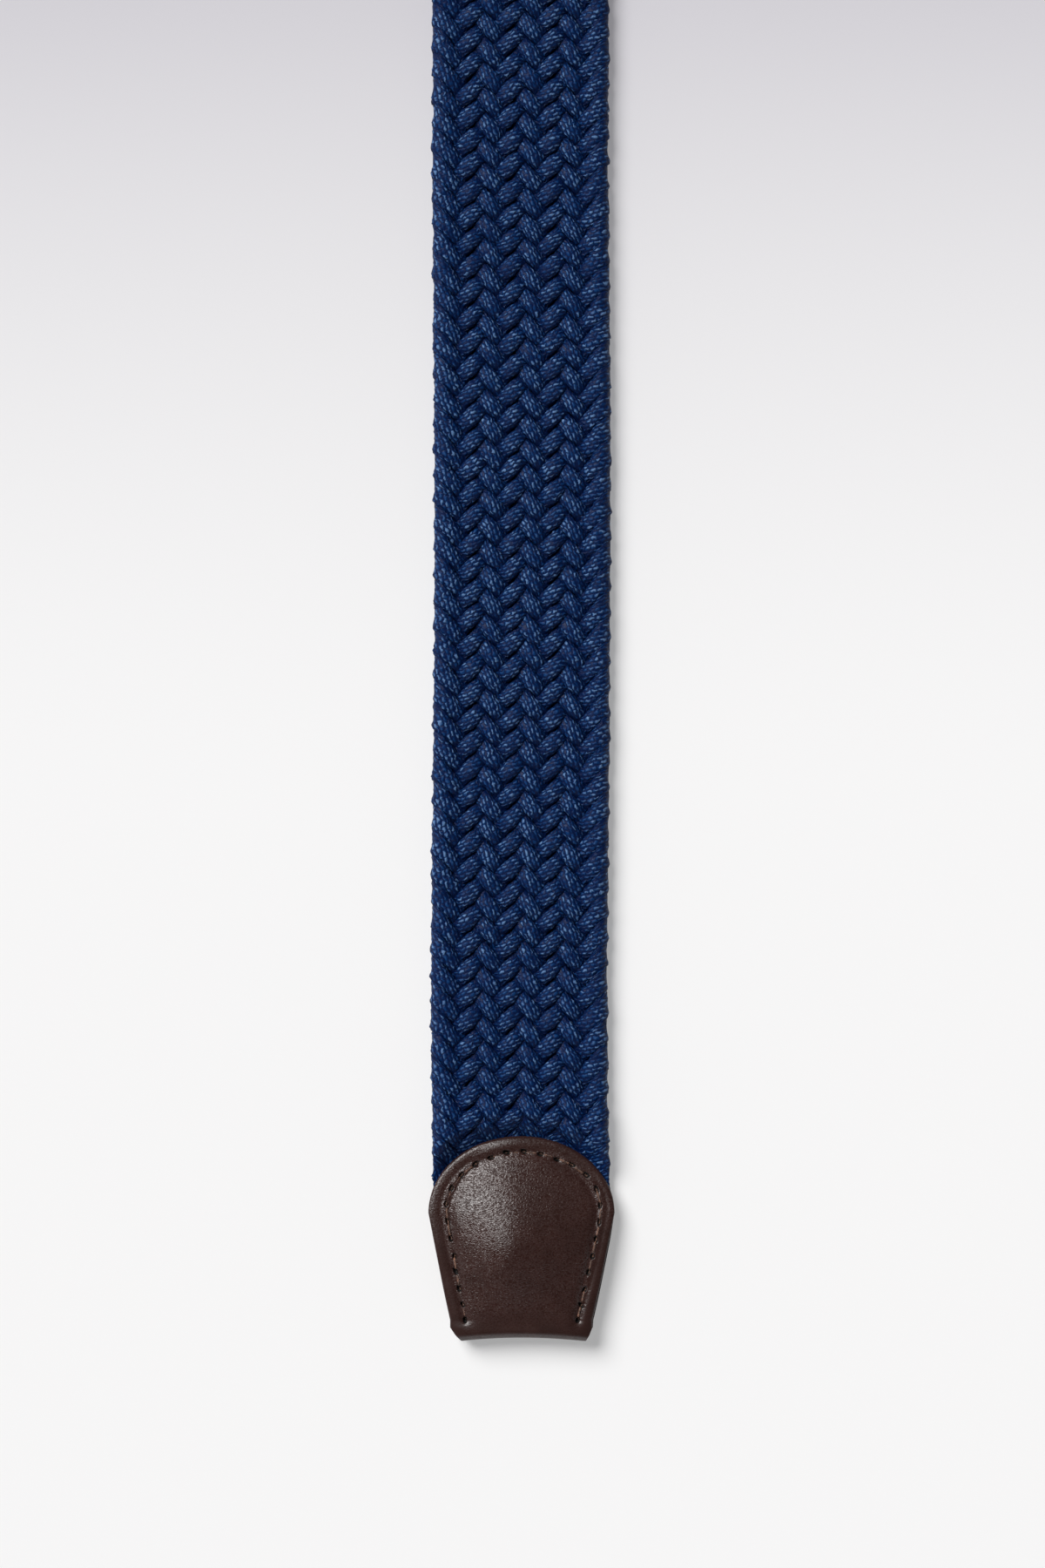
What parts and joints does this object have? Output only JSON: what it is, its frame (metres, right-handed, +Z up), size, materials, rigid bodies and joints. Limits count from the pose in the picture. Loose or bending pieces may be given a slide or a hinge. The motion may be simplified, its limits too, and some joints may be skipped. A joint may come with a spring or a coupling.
{
  "type": "braided elastic belt with a leather tip and a prong buckle",
  "caption": "Braided elastic belt laid straight, with a folded and stitched leather tip, a leather buckle tab and a plain prong buckle.",
  "frame": {"origin": "middle of the belt's length and width, on the surface that it lies on", "axes": "+Y runs along the belt from the leather tip to the buckle, +X across it, +Z up out of its front face"},
  "size_m": [0.047, 1.05, 0.0056],
  "materials": {
    "braid": "navy elastic cord with a fine knitted sleeve, braided flat",
    "leather": "dark brown, fine grained, half matt",
    "stitching": "brown waxed sewing thread",
    "steel": "satin, rounded edges"
  },
  "bodies": {
    "root": {"braided_strap": "braid", "leather_tip": "leather", "buckle_tab": "leather", "buckle": "steel"}
  },
  "joints": []
}
